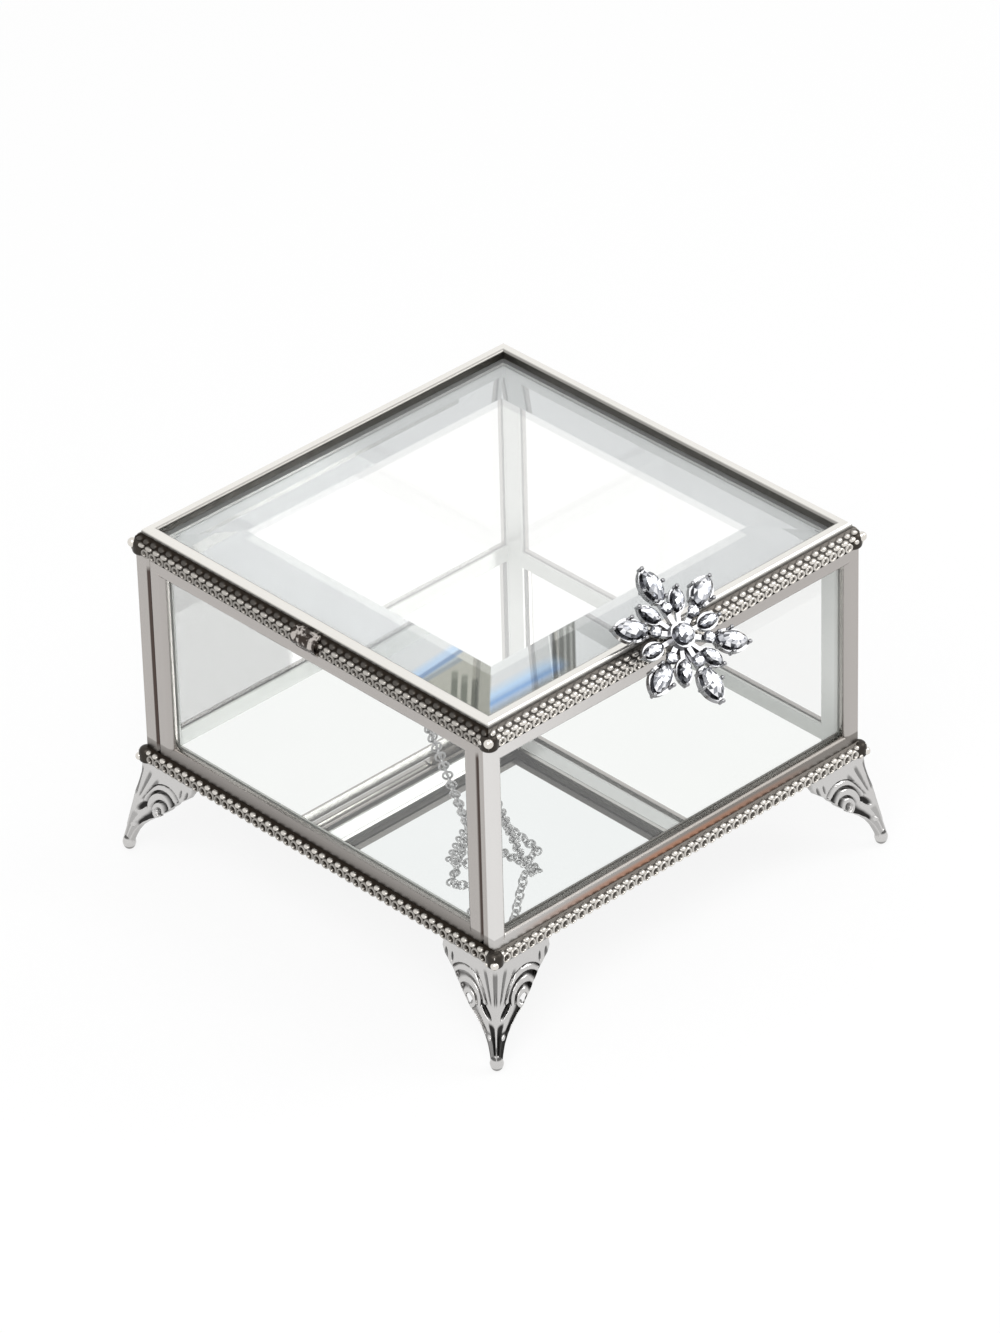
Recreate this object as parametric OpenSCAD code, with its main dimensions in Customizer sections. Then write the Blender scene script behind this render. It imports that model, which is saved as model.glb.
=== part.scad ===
// Glass casket box: a glazed metal box with a hinged lid, beaded trim,
// four cast corner feet, a snowflake brooch and a stay chain.
// X runs along the front, -Y is the front, the hinge lies along +Y.
// The origin is the centre of the underside of the mirror floor.

/* [Body] */
// Half width of the walls, outer faces
body_half = 56; // [50:0.5:62]
// Depth of a frame bar, from its outer to its inner face
bar_d = 3.8; // [3:0.1:6]
// Visible width of a stile
stile_w = 3.9; // [3:0.1:6]
// Width of a top rail
top_w = 3.6; // [3:0.1:6]
// Width of a bottom rail
bottom_w = 5; // [4:0.1:8]
// Height of the lower edge of the wall frames
wall_z0 = 0.2; // [0:0.1:1]
// Height of the upper edge of the wall frames
wall_z1 = 53.8; // [45:0.1:70]
// Thickness of the wall panes
pane_t = 1.4; // [1:0.1:2.5]
// Thickness of the mirror floor
floor_t = 3.2; // [2:0.1:4]

/* [Lid] */
// Half width of the lid lip
lid_half = 55; // [50:0.5:62]
// Width of the lip seen from above
lip_w = 2.7; // [2:0.1:5]
// Underside of the lid
lid_z0 = 54; // [46:0.1:70]
// Highest line of the lip
lid_z1 = 60.2; // [50:0.1:80]
// Top face of the bevelled glass
glass_z1 = 59.3; // [50:0.1:80]
// Underside of the bevelled glass
glass_z0 = 54.9; // [50:0.1:80]
// Width of the bevel round the glass
bevel_w = 15.8; // [8:0.1:20]
// Drop of the bevel at the edge of the glass
bevel_drop = 1.5; // [0.5:0.1:2.5]

/* [Beaded trim] */
// Spacing of the beads and cups
bead_pitch = 2.5; // [2:0.05:4]
// Diameter of a bead
bead_d = 1.5; // [1:0.1:2]
// How far the trim stands out from the wall it is on
trim_out = 2.5; // [1.5:0.1:4]
// Height of the lid trim
lid_trim_h = 5.1; // [3:0.1:7]
// Height of the base trim
base_trim_h = 3.8; // [2:0.1:6]
// Top line of the base trim
base_trim_z = 2.6; // [1:0.1:5]

/* [Feet] */
// Top of the feet
foot_z1 = -1.2; // [-3:0.1:0]
// Height of a foot
foot_h = 24; // [15:0.1:35]
// Width of one wing of a foot
foot_w = 16; // [10:0.5:25]
// Outward lean of a wing
foot_lean = 10.5; // [0:0.5:15]
// Thickness of a wing
foot_t = 1.6; // [1:0.1:3]

/* [Hinge] */
// Distance of the hinge line behind the middle
hinge_y = 58; // [57:0.1:62]
// Height of the hinge line
hinge_z = 52; // [45:0.1:60]
// Radius of the hinge tubes
tube_r = 1.4; // [1:0.1:2]
// Radius of the hinge rod
rod_r = 0.8; // [0.5:0.05:1.2]
// Length of the middle tube
tube_mid = 60; // [30:1:80]
// Length of an end tube
tube_end = 11.7; // [6:0.1:20]

/* [Stay chain] */
// Middle radius of a chain ring
link_r = 1.05; // [0.9:0.05:1.2]
// Radius of the chain's wire
link_wire = 0.25; // [0.2:0.01:0.25]
// Angle at which the chain stops the lid
lid_stop = 95; // [90:1:100]

/* [Brooch] */
// Radius of the snowflake
flake_r = 16.5; // [12:0.5:20]
// Sideways place of its middle
flake_x = -2.8; // [-10:0.1:10]
// Forward place of its middle
flake_y = -59; // [-65:0.1:-50]
// Height of its middle
flake_z = 59.1; // [50:0.1:65]
// Lean back of the snowflake from flat
flake_tilt = 43; // [0:1:90]

/* [Hidden] */
eps = 0.01;
side_half = body_half - bar_d;
joint_w = 0.7;
nose = 1.4;
groove0 = 1.9;
groove1 = groove0 + pane_t;
opening_z0 = wall_z0 + bottom_w;
opening_z1 = wall_z1 - top_w;
lid_inner = lid_half - lip_w;
glass_half = lid_half - 0.6;
trim_z1 = lid_z1 - 1.2;
trim_z0 = trim_z1 - lid_trim_h;
base_z0 = base_trim_z - base_trim_h;
sleeve_half = 3.8;
leaf_z = lid_z0 + 0.7;
foot_d = body_half - 0.8;

// The chain as it lies with the lid shut, after its first ring: rings in a straight run,
// compass angle of the run from +X, and its angle above the level.
chain_runs = [
    [27, -4, -72],
    [3, 18, -118],
    [3, 119, 2],
    [9, 33, -7],
    [3, 12, 22],
    [3, -80, 15],
    [9, -92, -7],
    [3, -177, -17],
    [15, -172, 67],
    [20, -148, 64]
];

body_eye = [-side_half + 1.7, -31, wall_z1 - 3.45];
lid_eye = [-lid_inner + 1.8, -46.5, lid_z0 - 2.05];
eye_gap = 0.35;
run_count = len(chain_runs) + 1;
link_count = 1 + sum([for (r = chain_runs) r[0]]);
open_eye = hinge_turn(lid_eye, lid_stop);
link_pitch = (norm(open_eye - body_eye) - 2 * eye_gap) / (link_count - 1);

// Places one wall: 0 front, 1 right, 2 back, 3 left.
module wall(k) {
    rotate([0, 0, 90 * k]) children();
}

// Section of a frame bar: depth runs to the right, width runs up.
module bar_section(w) {
    square([groove0, w - nose]);
    translate([nose, 0]) square([groove0 - nose, w]);
    intersection() {
        translate([nose, w - nose]) circle(r = nose, $fn = 48);
        square([nose + eps, w]);
    }
    translate([groove0 - eps, 0]) square([pane_t + 2 * eps, w - 1.8]);
    translate([groove1, 0]) square([bar_d - groove1, w]);
}

// A bar along X with its width going up and its outer face at y = 0.
module bar_along(len, w) {
    rotate([90, 0, 90])
        linear_extrude(len, center = true)
            bar_section(w);
}

// One bar of a wall frame, cut on the lines of its mitres.
module frame_bar(half, sw, which) {
    a = half - sw;
    translate([0, -body_half, 0])
        intersection() {
            if (which == 0)
                translate([0, 0, wall_z1]) mirror([0, 0, 1]) bar_along(2 * half, top_w);
            if (which == 1)
                translate([0, 0, wall_z0]) bar_along(2 * half, bottom_w);
            if (which == 2)
                translate([-half, 0, (wall_z0 + wall_z1) / 2])
                    rotate([0, 90, 0]) bar_along(wall_z1 - wall_z0, sw);
            if (which == 3)
                translate([half, 0, (wall_z0 + wall_z1) / 2])
                    rotate([0, -90, 0]) bar_along(wall_z1 - wall_z0, sw);
            translate([0, 5, 0]) rotate([90, 0, 0])
                linear_extrude(10)
                    bar_outline(half, a, which);
        }
}

// Outline of one mitred bar, seen from the front.
module bar_outline(half, a, which) {
    if (which == 0)
        polygon([[-half, wall_z1], [half, wall_z1], [a, opening_z1], [-a, opening_z1]]);
    if (which == 1)
        polygon([[-half, wall_z0], [half, wall_z0], [a, opening_z0], [-a, opening_z0]]);
    if (which == 2)
        polygon([[-half, wall_z0], [-a, opening_z0], [-a, opening_z1], [-half, wall_z1]]);
    if (which == 3)
        polygon([[half, wall_z0], [a, opening_z0], [a, opening_z1], [half, wall_z1]]);
}

// Bars of the front and back frames, which cover the full width.
module wide_bar(k, which) {
    color("silver") wall(k)
        difference() {
            frame_bar(body_half, stile_w, which);
            // Eased edge that makes the dark seam on the side of the box
            for (s = [-1, 1])
                translate([s * body_half, -side_half, 20])
                    rotate([0, 0, 45]) cube([0.7, 0.7, 80], center = true);
        }
}

// Bars of the left and right frames, held between the wide ones.
module narrow_bar(k, which) {
    color("silver") wall(k)
        difference() {
            frame_bar(side_half, stile_w + joint_w, which);
            for (s = [-1, 1])
                translate([s * side_half, -body_half, 20])
                    rotate([0, 0, 45]) cube([1, 1, 80], center = true);
        }
}

// A pane that reaches into the grooves of its frame.
module pane(k, half, sw) {
    color("lightblue", 0.35) wall(k)
        translate([0, -body_half + groove0 + pane_t / 2, (opening_z0 + opening_z1) / 2])
            cube([2 * (half - sw + 1.8), pane_t - 2 * eps, opening_z1 - opening_z0 + 3.6],
                center = true);
}

module mirror_floor() {
    color("white")
        translate([0, 0, floor_t / 2])
            cube([2 * side_half, 2 * side_half, floor_t], center = true);
}

// Cuts a bar along X on its two mitres, for a wall whose face is at d.
module mitred(d, reach) {
    intersection() {
        children();
        translate([0, 0, -40])
            linear_extrude(160)
                polygon([
                    [-d + 8, -d + 8], [d - 8, -d + 8],
                    [d + reach, -d - reach], [-d - reach, -d - reach]
                ]);
    }
}

// Section of the lid trim: depth outwards to the right, height up.
module lid_trim_section() {
    difference() {
        union() {
            polygon([
                [0, 0], [0.9, 0], [1.5, 1], [2.0, 2.3], [2.3, 2.4],
                [trim_out, 3], [trim_out, 4.4], [2.2, 5], [1.9, lid_trim_h], [0, lid_trim_h]
            ]);
        }
        translate([1.0, lid_trim_h + 0.5]) circle(r = 1, $fn = 40);
        translate([trim_out + 0.45, 3.5]) circle(r = 0.75, $fn = 40);
    }
}

// Beads, cups and scallops of the lid trim on one side, as cutters and balls.
module bead_row(n, d, z, bd) {
    for (i = [-n:n])
        translate([i * bead_pitch, -d, z])
            sphere(d = bd, $fn = 24);
}

module cup_row(n, d, z, cd, deep) {
    for (i = [-n:n - 1])
        translate([(i + 0.5) * bead_pitch, -d, z])
            rotate([90, 0, 0]) cylinder(d = cd, h = deep, $fn = 24);
}

module notch_row(n, d, z, nd) {
    for (i = [-n:n])
        translate([i * bead_pitch, -d + 3, z])
            rotate([90, 0, 0]) cylinder(d = nd, h = 6, $fn = 16);
}

// Rounded block over a trim corner with one bright ball, half on each side.
module corner_block(d, z0, z1) {
    translate([d + 0.3, -d - 0.3, z0])
        cylinder(r = trim_out - 0.2, h = z1 - z0, $fn = 48);
}

module lid_trim(k) {
    n = 21;
    d = lid_half;
    color("silver") wall(k)
        mitred(d, 8)
            difference() {
                union() {
                    translate([0, -d, trim_z0])
                        rotate([90, 0, -90])
                            linear_extrude(2 * (d + trim_out), center = true)
                                lid_trim_section();
                    bead_row(n, d + 2.15, trim_z1 - 0.95, bead_d);
                    for (s = [-1, 1])
                        scale([s, 1, 1]) corner_block(d, trim_z0 + 0.6, trim_z1 - 0.5);
                }
                cube([2 * d, 2 * d, 200], center = true);
                cup_row(n, d + 1.25, trim_z0 + 1.5, 1.5, 3);
                notch_row(n, d, trim_z0 - 0.35, 1.3);
                if (k == 2)
                    translate([0, -d, trim_z0])
                        cube([tube_mid + 0.4, 12, 2 * (leaf_z - trim_z0)], center = true);
                if (k == 3)
                    translate([0, -d - 1.5, trim_z0])
                        cube([2 * sleeve_half, 3.4, 4 * lid_trim_h], center = true);
            }
}

// Sleeve that joins the two ends of the left trim.
module lid_trim_sleeve() {
    color("silver") wall(3)
        translate([0, -lid_half, trim_z0])
            intersection() {
                rotate([90, 0, -90])
                    linear_extrude(2 * sleeve_half - 0.1, center = true)
                        difference() {
                            union() {
                                square([1.6, lid_trim_h]);
                                translate([0.6, lid_trim_h / 2])
                                    circle(r = 2.35, $fn = 60);
                            }
                            translate([-5, -10]) square([5, 30]);
                            translate([-1, -10]) square([10, 10]);
                            translate([-1, lid_trim_h]) square([10, 10]);
                        }
                translate([0, -1, lid_trim_h / 2])
                    rotate([90, 0, 0]) cylinder(r = 4.2, h = 12, center = true, $fn = 60);
            }
}

// Section of the base trim.
module base_trim_section() {
    difference() {
        polygon([
            [0, 0], [0.7, 0], [1.2, 0.5], [1.5, 1.6], [1.6, 2.6],
            [1.3, 3.1], [0.8, 3.2], [0.7, base_trim_h], [0, base_trim_h]
        ]);
        translate([1.35, 3.75]) circle(r = 0.55, $fn = 32);
    }
}

module base_trim(k) {
    n = 21;
    d = body_half;
    color("silver") wall(k)
        mitred(d, 6)
            difference() {
                union() {
                    translate([0, -d, base_z0])
                        rotate([90, 0, -90])
                            linear_extrude(2 * (d + trim_out), center = true)
                                base_trim_section();
                    for (s = [-1, 1])
                        scale([s, 1, 1])
                            translate([d, -d, base_z0 + 0.3])
                                cylinder(r = 1.7, h = base_trim_h - 0.7, $fn = 48);
                }
                cube([2 * d, 2 * d, 200], center = true);
                cup_row(n, d + 0.7, base_z0 + 1.75, 1.45, 3);
                notch_row(n, d, base_z0 - 0.3, 1.2);
            }
}

// A point of the wing: u from the ridge, w below the top of the foot.
function wp(u, w) = [u - w * sin(foot_lean), -w];

// Flat outline of one foot wing; the ridge leans out as it goes down.
module wing_outline() {
    polygon([
        [-9, 0], [foot_w, 0], wp(foot_w + 0.3, 1.6), wp(foot_w - 0.5, 3.1),
        wp(foot_w - 2.2, 4.3), wp(12.9, 5.2), wp(12.1, 6.3), wp(11.2, 7.2),
        wp(10.2, 8.8), wp(8.9, 9.8), wp(7.6, 11.3), wp(6.1, 12.5),
        wp(4.9, 14.2), wp(3.7, 15.8), wp(2.7, 17.8), wp(2.1, 20), wp(1.9, 22),
        [-9, -22]
    ]);
    translate(wp(foot_w - 1.7, 2.3)) circle(r = 1.9, $fn = 40);
    translate(wp(11.6, 6.2)) circle(r = 1.1, $fn = 40);
    translate(wp(9.1, 8.9)) circle(r = 1.4, $fn = 40);
    translate(wp(6.4, 11.6)) circle(r = 1.4, $fn = 40);
}

// Openwork of one wing: nested arcs, an almond and small holes.
module wing_slots() {
    intersection() {
        for (q = [[5.4, 4.5], [3.5, 2.7]])
            translate(wp(8.8, 8.6))
                difference() {
                    circle(r = q[0], $fn = 60);
                    circle(r = q[1], $fn = 60);
                }
        polygon([wp(3.8, 8.6), wp(3.8, 2.4), wp(12, 2.4), wp(12.4, 4.4), wp(8.8, 7.6), wp(5, 9.6)]);
    }
    intersection() {
        translate(wp(0.6, 9)) circle(r = 2.6, $fn = 48);
        translate(wp(4.2, 11)) circle(r = 2.6, $fn = 48);
    }
    translate(wp(8.4, 8.6)) circle(r = 1.1, $fn = 32);
    translate(wp(5.4, 11.9)) circle(r = 0.6, $fn = 32);
}

// Sunk flutes of one wing: a fan above the almond, two on the ankle.
module wing_flutes() {
    for (a = [6, 18, 31])
        translate(wp(1.6, 9))
            translate([0, 0, foot_t])
                rotate([0, 0, -a])
                    translate([0, 1 + a / 15, 0])
                        rotate([-90, 0, 0]) cylinder(r1 = 0.2, r2 = 0.42, h = 5.6, $fn = 16);
    for (u = [0.8, 1.5])
        translate(wp(u, 20.6))
            translate([0, 0, foot_t])
                rotate([0, 0, foot_lean])
                    rotate([-90, 0, 0]) cylinder(r = 0.3, h = 6.4, $fn = 16);
}

module wing() {
    difference() {
        linear_extrude(foot_t)
            difference() {
                wing_outline();
                wing_slots();
            }
        wing_flutes();
        // Hollow behind the ear
        translate(wp(foot_w - 1.5, 2.6))
            translate([0, 0, -0.6]) cylinder(r = 1.1, h = 1.2, $fn = 32);
    }
}

// One wing in place on the front wall, its ridge at the right corner.
module placed_wing() {
    intersection() {
        union() {
            translate([foot_d, -foot_d, foot_z1])
                rotate([90 - foot_lean, 0, 0])
                    mirror([1, 0, 0]) wing();
            // Flange that is fixed under the wall frame
            translate([foot_d - 14, -body_half + eps, foot_z1])
                cube([20, 3.4, wall_z0 - foot_z1]);
        }
        translate([-20, -80, -45]) cube([100, 80, 45 + wall_z0]);
        translate([0, 0, -45])
            linear_extrude(60)
                polygon([[0, 0], [80, -80], [0, -80]]);
        // Nothing above the foot outside the wall
        union() {
            translate([-100, -body_half + eps, -45]) cube([200, 80, 100]);
            translate([-100, -90, -45]) cube([200, 80, 45 + foot_z1]);
        }
        union() {
            translate([-100, -100, -45]) cube([100 + body_half - eps, 200, 100]);
            translate([-100, -100, -45]) cube([200, 200, 45 + foot_z1]);
        }
    }
}

// A cast foot: two wings that meet on the ridge, and a rounded toe.
module foot(k) {
    tip = foot_d + 21 * tan(foot_lean) + 0.7;
    color("silver") wall(k)
        union() {
            placed_wing();
            mirror([1, 1, 0]) placed_wing();
            translate([tip, -tip, foot_z1 - foot_h])
                rotate([0, 0, 45])
                    rotate_extrude($fn = 60)
                        intersection() {
                            union() {
                                translate([0, 1.6]) circle(r = 1.75, $fn = 60);
                                translate([0, 3.6]) circle(r = 1.3, $fn = 60);
                            }
                            square([4, 6]);
                        }
        }
}

// Leaf and two end tubes of the hinge, fixed to the back wall.
module hinge_end_tubes() {
    color("silver")
        difference() {
            union() {
                for (s = [-1, 1])
                    translate([s * (tube_mid / 2 + 0.3 + tube_end / 2), 0, 0]) {
                        translate([0, hinge_y, hinge_z])
                            rotate([0, 90, 0])
                                cylinder(r = tube_r, h = tube_end, center = true, $fn = 48);
                        translate([0, body_half + 0.35, hinge_z - 3.1])
                            cube([tube_end, 0.7, 7], center = true);
                        translate([0, body_half + 0.35 + 0.5, hinge_z - 0.9])
                            cube([tube_end, 1.4, 0.7], center = true);
                    }
                // Low strip that joins the two tubes
                translate([0, body_half + 0.35, hinge_z - 5.2])
                    cube([tube_mid + 2 * tube_end + 0.6, 0.7, 2.8], center = true);
            }
            translate([0, hinge_y, hinge_z])
                rotate([0, 90, 0]) cylinder(r = rod_r, h = 200, center = true, $fn = 48);
        }
}

module hinge_rod() {
    reach = tube_mid / 2 + 0.3 + tube_end;
    color("silver")
        translate([0, hinge_y, hinge_z])
            rotate([0, 90, 0])
                union() {
                    cylinder(r = rod_r, h = 2 * reach + 2, center = true, $fn = 48);
                    for (s = [-1, 1])
                        translate([0, 0, s * (reach + 1.2)])
                            sphere(r = 1.15, $fn = 40);
                }
}

// Middle tube with its bent leaf, fixed to the lid.
module hinge_lid_tube() {
    color("silver")
        difference() {
            union() {
                translate([0, hinge_y, hinge_z])
                    rotate([0, 90, 0]) cylinder(r = tube_r, h = tube_mid, center = true, $fn = 48);
                translate([0, hinge_y - 1.05, (hinge_z + leaf_z) / 2])
                    cube([tube_mid, 0.7, leaf_z - hinge_z], center = true);
                translate([0, (lid_half + hinge_y - 0.7) / 2, leaf_z - 0.35])
                    cube([tube_mid, hinge_y - 0.7 - lid_half, 0.7], center = true);
            }
            translate([0, hinge_y, hinge_z])
                rotate([0, 90, 0])
                    cylinder(r = rod_r + 0.05, h = 200, center = true, $fn = 48);
        }
}

// Section of a lid rail: the pocket holds the edge of the glass.
module lid_rail_section() {
    h = lid_z1 - lid_z0;
    difference() {
        union() {
            square([lip_w, h - 0.8]);
            translate([0.8, 0]) square([lip_w - 1.6, h]);
            translate([0.8, h - 0.8]) circle(r = 0.8, $fn = 48);
            translate([lip_w - 0.8, h - 0.8]) circle(r = 0.8, $fn = 48);
        }
        translate([0.6, glass_z0 - lid_z0]) square([lip_w, 3.2]);
    }
}

module lid_rail(k) {
    color("silver") wall(k)
        mitred(lid_half, 4)
            translate([0, -lid_half, lid_z0])
                rotate([90, 0, 90])
                    linear_extrude(2 * lid_half, center = true)
                        lid_rail_section();
}

// Bevelled plate: the top is cut down along its four edges.
module lid_glass() {
    a = atan(bevel_drop / bevel_w);
    color("lightblue", 0.35)
        difference() {
            translate([0, 0, (glass_z0 + glass_z1) / 2])
                cube([2 * glass_half, 2 * glass_half, glass_z1 - glass_z0], center = true);
            for (k = [0:3])
                wall(k)
                    translate([-80, -glass_half + bevel_w, glass_z1])
                        rotate([a, 0, 0])
                            translate([0, -40, 0]) cube([160, 40, 10]);
        }
}

// Sum of a list of numbers.
function sum(v, i = 0) = i < len(v) ? v[i] + sum(v, i + 1) : 0;

// A point of the lid after the lid has opened by an angle.
function hinge_turn(p, a) = [
    p[0],
    hinge_y + (p[1] - hinge_y) * cos(a) + (p[2] - hinge_z) * sin(a),
    hinge_z - (p[1] - hinge_y) * sin(a) + (p[2] - hinge_z) * cos(a)
];

// Direction of a compass angle and an angle above the level.
function heading(az, el) = [cos(el) * cos(az), cos(el) * sin(az), sin(el)];
function unit(v) = v / norm(v);

// Direction of run i; the first ring hangs in the plane of its eye.
function run_dir(i) =
    let (r = chain_runs[max(i, 1) - 1], d = heading(r[1], r[2]))
    i == 0 ? unit([0, d[1], d[2]]) : d;

function run_links(i) = i == 0 ? 1 : chain_runs[i - 1][0];

// From the pivot of a run to the middle of its first ring.
function run_start(i) = i == 0 ? eye_gap : link_pitch - link_r;

function run_length(i) =
    run_start(i) + (run_links(i) - 1) * link_pitch + (i == run_count - 1 ? eye_gap : link_r);

// Pivot of run i: the bar of the last ring before it.
function pivot(i) = i == 0 ? body_eye : pivot(i - 1) + run_length(i - 1) * run_dir(i - 1);

// Axis on which run i folds against the run before it.
function fold_axis(i) = i == 0 ? [1, 0, 0] : unit(cross(run_dir(i - 1), run_dir(i)));

// Normal of the last ring of a run, whose bar is the next fold axis.
function last_normal(i) =
    i == run_count - 1 ? unit(cross(run_dir(i), cross([1, 0, 0], run_dir(i))))
                       : cross(fold_axis(i + 1), run_dir(i));

// A ring of round wire lying in the XZ plane.
module ring(r, w) {
    rotate([90, 0, 0])
        rotate_extrude($fn = 48)
            translate([r, 0]) circle(r = w, $fn = 32);
}

module chain_eye_body() {
    color("silver")
        union() {
            translate([-side_half + 0.4, -31, wall_z1 - 2])
                cube([0.8, 3, 2.8], center = true);
            translate(body_eye + [0, 0, 1.15]) ring(1.15, 0.35);
        }
}

module chain_eye_lid() {
    color("silver")
        union() {
            translate([-lid_inner + 1.6, -46.5, lid_z0 + 0.45])
                cube([3.2, 3, 0.8], center = true);
            translate(lid_eye + [0, 0, 1.15]) ring(1.15, 0.35);
        }
}

// One straight run of the chain: each ring is turned about a quarter from the one before,
// so that the first lies in its fold's plane and the last holds the bar of the next fold.
module stay_chain(i) {
    d = run_dir(i);
    n = run_links(i);
    az = atan2(d[1], d[0]);
    el = asin(d[2]);
    side = [-sin(az), cos(az), 0];
    up = cross(d, side);
    roll_a = atan2(-(fold_axis(i) * side), fold_axis(i) * up);
    roll_b = atan2(-(last_normal(i) * side), last_normal(i) * up);
    odd = roll_b - roll_a - 90 * (n - 1);
    twist = 90 * (n - 1) + odd - 180 * round(odd / 180);
    color("silver")
        translate(pivot(i))
            rotate([0, -el, az])
                for (k = [0:n - 1])
                    translate([run_start(i) + k * link_pitch, 0, 0])
                        rotate([roll_a + (n > 1 ? k * twist / (n - 1) : 0), 0, 0])
                            rotate_extrude($fn = 48)
                                translate([link_r, 0]) circle(r = link_wire, $fn = 24);
}

// Places a child on the tilted plane of the snowflake.
module flake() {
    translate([flake_x, flake_y, flake_z])
        rotate([flake_tilt, 0, 0]) children();
}

// Pointed oval of length l and width w, along x.
module oval(l, w) {
    r = (l * l / 4 + w * w / 4) / w;
    intersection() {
        translate([0, r - w / 2]) circle(r = r, $fn = 64);
        translate([0, w / 2 - r]) circle(r = r, $fn = 64);
    }
}

// A cut stone: pointed oval with a roof of four slopes.
module petal_stone(l, w, h) {
    difference() {
        linear_extrude(h) oval(l, w);
        for (s = [-1, 1]) {
            translate([0, s * w * 0.22, h])
                rotate([-s * 38, 0, 0])
                    translate([-l, s > 0 ? 0 : -w, 0]) cube([2 * l, w, h]);
            translate([s * l * 0.22, 0, h])
                rotate([0, s * 24, 0])
                    translate([s > 0 ? 0 : -l, -w, 0]) cube([l, 2 * w, h]);
        }
    }
}

module brooch_petal_stones() {
    color("lightcyan", 0.6) flake()
        for (k = [0:5]) {
            rotate([0, 0, 30 + 60 * k])
                translate([12.2, 0, 1.6]) petal_stone(7.6, 4.6, 2);
            rotate([0, 0, 60 * k])
                translate([8.2, 0, 1.2]) petal_stone(5.2, 3, 1.6);
        }
}

module brooch_round_stones() {
    color("lightcyan", 0.6) flake() {
        for (k = [0:5])
            rotate([0, 0, 30 + 60 * k])
                translate([6.6, 0, 1.6])
                    cylinder(r1 = 1.5, r2 = 0.8, h = 1.1, $fn = 32);
        translate([0, 0, 2.4]) cylinder(r1 = 2.4, r2 = 1.3, h = 1.6, $fn = 48);
    }
}

// Claw with a round head.
module claw(h) {
    cylinder(r = 0.4, h = h, $fn = 20);
    translate([0, 0, h]) sphere(r = 0.5, $fn = 20);
}

module brooch_frame() {
    color("silver") flake()
        union() {
            for (k = [0:5]) {
                rotate([0, 0, 30 + 60 * k]) {
                    translate([12.2, 0, 0.3]) linear_extrude(1.3)
                        difference() {
                            oval(9, 5.6);
                            oval(5.4, 3);
                        }
                    translate([1, -0.6, 0.3]) cube([8, 1.2, 1.3]);
                    for (s = [-1, 1]) {
                        translate([12.2, s * 2.8, 0.4]) claw(2.1);
                        translate([9, s * 1.5, 0.4]) claw(2);
                    }
                    translate([flake_r + 0.1, 0, 0.4]) claw(1.7);
                }
                rotate([0, 0, 60 * k]) {
                    translate([8.2, 0, 0.1]) linear_extrude(1.1) oval(6.4, 4);
                    translate([1, -0.5, 0.3]) cube([6, 1, 0.9]);
                    translate([11.3, 0, 0.4]) claw(1.5);
                }
            }
            translate([0, 0, 0.3]) cylinder(r = 3, h = 2.1, $fn = 48);
        }
}

// Bracket that carries the brooch on the front rail of the lid.
module brooch_bracket() {
    color("silver")
        difference() {
            flake() translate([0, -1.5, -1.2]) cube([5, 9, 3.0], center = true);
            // Keeps clear of the rail, the trim and the frame of the brooch
            translate([-60, -lid_half, 40]) cube([120, 60, lid_z1 - 40]);
            translate([-60, -lid_half - trim_out - 0.4, 40])
                cube([120, 20, trim_z1 + 0.2 - 40]);
            flake() translate([-20, -20, 0.1]) cube([40, 40, 20]);
            translate([-60, -120, 40]) cube([120, 60, 5]);
        }
}

mirror_floor();
pane(0, body_half, stile_w);  // pane_front
pane(2, body_half, stile_w);  // pane_back
pane(3, side_half, stile_w + joint_w);  // pane_left
pane(1, side_half, stile_w + joint_w);  // pane_right
wide_bar(0, 0);  // front_top_rail
wide_bar(0, 1);  // front_bottom_rail
wide_bar(0, 2);  // front_left_stile
wide_bar(0, 3);  // front_right_stile
wide_bar(2, 0);  // back_top_rail
wide_bar(2, 1);  // back_bottom_rail
wide_bar(2, 2);  // back_left_stile
wide_bar(2, 3);  // back_right_stile
narrow_bar(3, 0);  // left_top_rail
narrow_bar(3, 1);  // left_bottom_rail
narrow_bar(3, 2);  // left_left_stile
narrow_bar(3, 3);  // left_right_stile
narrow_bar(1, 0);  // right_top_rail
narrow_bar(1, 1);  // right_bottom_rail
narrow_bar(1, 2);  // right_left_stile
narrow_bar(1, 3);  // right_right_stile
base_trim(0);  // base_trim_front
base_trim(2);  // base_trim_back
base_trim(3);  // base_trim_left
base_trim(1);  // base_trim_right
foot(3);  // foot_front_left
foot(0);  // foot_front_right
foot(2);  // foot_back_left
foot(1);  // foot_back_right
hinge_end_tubes();
hinge_rod();
chain_eye_body();
lid_rail(0);  // lid_rail_front
lid_rail(2);  // lid_rail_back
lid_rail(3);  // lid_rail_left
lid_rail(1);  // lid_rail_right
lid_glass();
lid_trim(0);  // lid_trim_front
lid_trim(2);  // lid_trim_back
lid_trim(3);  // lid_trim_left
lid_trim(1);  // lid_trim_right
lid_trim_sleeve();
hinge_lid_tube();
chain_eye_lid();
brooch_frame();
brooch_petal_stones();
brooch_round_stones();
brooch_bracket();
stay_chain(0);  // stay_chain_1
stay_chain(1);  // stay_chain_2
stay_chain(2);  // stay_chain_3
stay_chain(3);  // stay_chain_4
stay_chain(4);  // stay_chain_5
stay_chain(5);  // stay_chain_6
stay_chain(6);  // stay_chain_7
stay_chain(7);  // stay_chain_8
stay_chain(8);  // stay_chain_9
stay_chain(9);  // stay_chain_10
stay_chain(10);  // stay_chain_11
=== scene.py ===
"""Glass casket box: finishes, beaded trim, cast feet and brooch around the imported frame."""
import math

import bpy
import numpy as np
from mathutils import Matrix, Vector


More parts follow.
